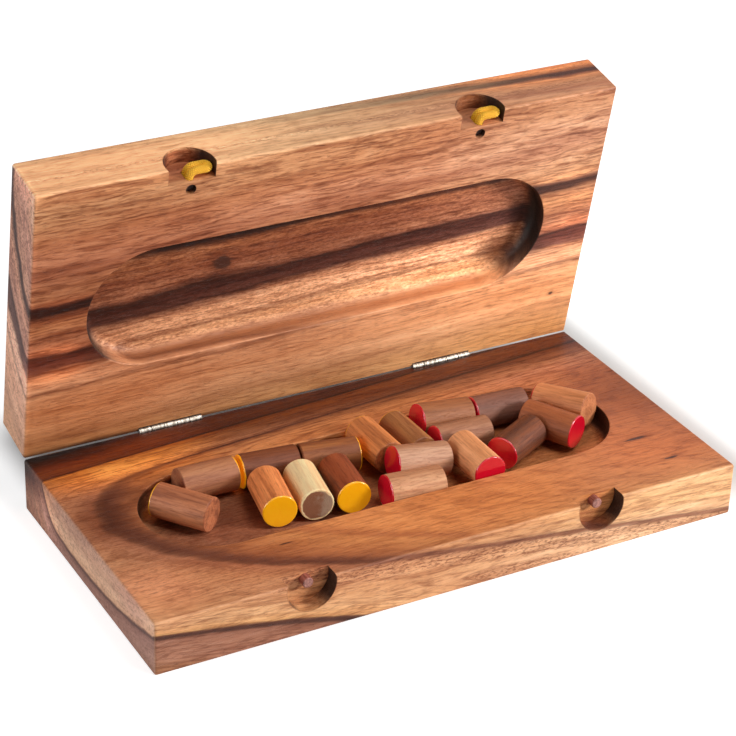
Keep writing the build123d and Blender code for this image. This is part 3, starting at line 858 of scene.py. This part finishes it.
leaves = [f"hinge_{half_name}_leaf_{side}" for half_name in ("base", "lid") for side in SIDES]
dress(leaves, metal_finish("plated_brass", "C8C2B8", "6E6250", 0.12, 0.34))
dress([f"hinge_pin_{side}" for side in SIDES], metal_finish("bright_steel", "D4D4D2", "8E8C88", 0.5, 0.25))
dress(["hinge_base_screws", "hinge_lid_screws"], metal_finish("screw_brass", "D8B868", "8E6E36", 0.25, 0.28))
print("metal dressed:", len(leaves), "leaves")

# %% [markdown]
# ## Braided catch cords
# A loop of round elastic cord stands in each notch of the lid, to be hooked over the peg below it when the box is
# shut. Its cover is braided from yellow thread. A braid follows a path, so Geometry Nodes make it: a tube is swept
# along the cord's route, and every point is pushed out by the height of the thread that passes there. Threads
# wind both ways, and in each diamond where two cross, one of them lies on top. The nodes also keep that height as
# an attribute, and the material paints shade into the gaps with it. The cord also has a faint glow, which is
# painted light.

# %% The cord's route, in the lid's own millimetres
CORD_WIDTH = 2.9
STRAND_OFFSET = CORD_WIDTH / 2  # the two strands touch
CORD_LEVEL = HALF_THICKNESS - 3.7
CORD_LINE = FRONT + 3.4  # y of the leaning strands
CORD_BEND = 2.5  # how tightly they lean over
CORD_FOLD = 6.0  # from the hole to where the cord folds back
CORD_ROOT = FRONT + 9.4 - 3.9 / 2 - 0.1  # against the anchor


def on_lid(x, y, z):
    """From the lid's own millimetres, as if shut, to its place when open, in metres."""
    out = y - HINGE_TO_MIDDLE
    down = HINGE_HEIGHT - z
    turned_y = out * math.cos(LID_OPENING) + down * math.sin(LID_OPENING)
    turned_z = down * math.cos(LID_OPENING) - out * math.sin(LID_OPENING)
    return Vector((x, turned_y + HINGE_TO_MIDDLE, turned_z + HINGE_HEIGHT)) * MM


def cord_route(x):
    """Out of the hole, over to the right, round the fold and back."""
    strands = []
    for z in (CORD_LEVEL + STRAND_OFFSET, CORD_LEVEL - STRAND_OFFSET):
        strand = [(x, CORD_ROOT, z), (x, CORD_LINE + CORD_BEND + 0.4, z)]
        for angle in (math.radians(90 * step / 12) for step in range(13)):
            bend_x = x + CORD_BEND * (1 - math.cos(angle))
            strand.append((bend_x, CORD_LINE + CORD_BEND * (1 - math.sin(angle)), z))
        strands.append(strand)
    fold = []
    for angle in (math.radians(180 * step / 16) for step in range(17)):
        fold_x = x + CORD_FOLD + STRAND_OFFSET * math.sin(angle)
        fold.append((fold_x, CORD_LINE, CORD_LEVEL + STRAND_OFFSET * math.cos(angle)))
    return [on_lid(*point) for point in strands[0] + fold + strands[1][::-1]]


print("points on a route:", len(cord_route(0)))

# %% The braid's material
def braid_finish():
    finish = Finish("braided_cord")
    crown = finish.step("ShaderNodeAttribute", {}, "Fac", attribute_name="crown")
    fuzz = finish.grainy(finish.millimetres(), 0.16, 0.16, 2.0, 0.6)
    thread = finish.mix(finish.between(fuzz, 0.4, 0.7, 0, 0.6), shade("FFCC2C"), shade("F6AC14"))
    # Painted shade: the gaps between threads take a dark orange.
    colour = finish.mix(finish.between(crown, 0.20, 0.70), shade("A85408"), thread)
    fuzzy = finish.bumps(fuzz, 0.00006, 0.6)
    # Painted light: the cord glows a little, though it is no lamp.
    return finish.surface(colour, 0.75, fuzzy, glow=colour, Sheen_Weight=0.2, Emission_Strength=0.18)


yellow_braid = braid_finish()
print("braid material:", yellow_braid.name)

# %% How high the threads stand
FLAT, ROUND = 0.35, 0.95  # powers of a sine: a low one makes a flat top, a high one a round hump


def thread_crown(braid, along, around, given):
    """The thread's height at a point: 0 in the gaps and 1 on its crest."""
    wound = braid.product(braid.sum("DIVIDE", along, given["Rise"]), given["Threads"])
    circled = braid.product(around, given["Threads"])
    ways = [braid.sum(operation, circled, wound) for operation in ("ADD", "SUBTRACT")]
    humps = [braid.sum("SINE", braid.product(braid.sum("FRACT", way), math.pi)) for way in ways]
    cell = braid.sum("ADD", *(braid.sum("FLOOR", way) for way in ways))
    upper = braid.sum("GREATER_THAN", braid.sum("FLOORED_MODULO", cell, 2.0), 0.5)
    heights = [
        braid.product(*(braid.sum("POWER", hump, power) for hump, power in zip(humps, powers)))
        for powers in ((FLAT, ROUND), (ROUND, FLAT))
    ]
    choice = {"Switch": upper, "False": heights[0], "True": heights[1]}
    return braid.step("GeometryNodeSwitch", choice, input_type="FLOAT")


print("threads are sines to the power", FLAT, "one way and", ROUND, "the other")

# %% A braid as a node tree
def kept(braid, geometry, name, value):
    """Keeps a value on each point under a name."""
    inputs = {"Geometry": geometry, "Name": name, "Value": value}
    return braid.step("GeometryNodeStoreNamedAttribute", inputs, data_type="FLOAT", domain="POINT")


def braid_tree():
    """Threads that wind both ways round a tube along a curve."""
    tree = bpy.data.node_groups.new("braid", "GeometryNodeTree")
    tree.interface.new_socket(name="Route", in_out="INPUT", socket_type="NodeSocketGeometry")
    sizes = {"Core Radius": 0.00119, "Thread Height": 0.00026, "Threads": 8.0, "Rise": 0.0050, "Step": 0.00010}
    for name, size in sizes.items():
        tree.interface.new_socket(name=name, in_out="INPUT", socket_type="NodeSocketFloat").default_value = size
    tree.interface.new_socket(name="Finish", in_out="INPUT", socket_type="NodeSocketMaterial")
    tree.interface.new_socket(name="Braid", in_out="OUTPUT", socket_type="NodeSocketGeometry")
    braid = Steps(tree)
    given = tree.nodes.new("NodeGroupInput").outputs
    fine = {"Curve": given["Route"], "Length": given["Step"]}
    line = braid.step("GeometryNodeResampleCurve", fine, mode="LENGTH")
    line = kept(braid, line, "travelled", braid.step("GeometryNodeSplineParameter", {}, "Length"))
    section = {"Resolution": 96, "Radius": given["Core Radius"]}
    circle = braid.step("GeometryNodeCurvePrimitiveCircle", section, mode="RADIUS")
    circle = kept(braid, circle, "around", braid.step("GeometryNodeSplineParameter", {}, "Factor"))
    tube = braid.step("GeometryNodeCurveToMesh", {"Curve": line, "Profile Curve": circle, "Fill Caps": True})
    along, around = (
        braid.step("GeometryNodeInputNamedAttribute", {"Name": name}, data_type="FLOAT")
        for name in ("travelled", "around")
    )
    crown = thread_crown(braid, along, around, given)
    outwards = {0: braid.step("GeometryNodeInputNormal", {}), "Scale": braid.product(crown, given["Thread Height"])}
    lift = braid.step("ShaderNodeVectorMath", outwards, operation="SCALE")
    pushed = {"Geometry": kept(braid, tube, "crown", crown), "Offset": lift}
    smooth = braid.step("GeometryNodeSetShadeSmooth", {0: braid.step("GeometryNodeSetPosition", pushed)})
    finished = {"Geometry": braid.step("GeometryNodeRealizeInstances", {0: smooth}), "Material": given["Finish"]}
    braid.end("NodeGroupOutput", braid.step("GeometryNodeSetMaterial", finished))
    return tree


braiding = braid_tree()
print("braid tree:", len(braiding.nodes), "nodes")

# %% Lay one braid in each notch
def laid_cord(side, x):
    """A cord loop as a plain mesh, made by the braid tree along its route."""
    line = bpy.data.curves.new("route", "CURVE")
    line.dimensions = "3D"
    spline = line.splines.new("POLY")
    route = cord_route(x)
    spline.points.add(len(route) - 1)
    for point, place in zip(spline.points, route):
        point.co = (*place, 1)
    holder = bpy.data.objects.new("route", line)
    bpy.context.scene.collection.objects.link(holder)
    modifier = holder.modifiers.new("braid", "NODES")
    modifier.node_group = braiding
    for socket in braiding.interface.items_tree:
        if socket.in_out == "INPUT" and socket.name == "Finish":
            modifier[socket.identifier] = yellow_braid
    made = holder.evaluated_get(bpy.context.evaluated_depsgraph_get())
    mesh = bpy.data.meshes.new_from_object(made)
    bpy.data.objects.remove(holder)
    piece = bpy.data.objects.new(f"catch_cord_{side}", mesh)
    bpy.context.scene.collection.objects.link(piece)
    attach(piece, "lid")
    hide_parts(f"cord_loop_{side}")
    return piece


for side, x in zip(SIDES, (-NOTCH_PLACE, NOTCH_PLACE)):
    cord = laid_cord(side, x)
    print(cord.name, "has", len(cord.data.polygons), "faces,", len(cord.data.materials), "material")
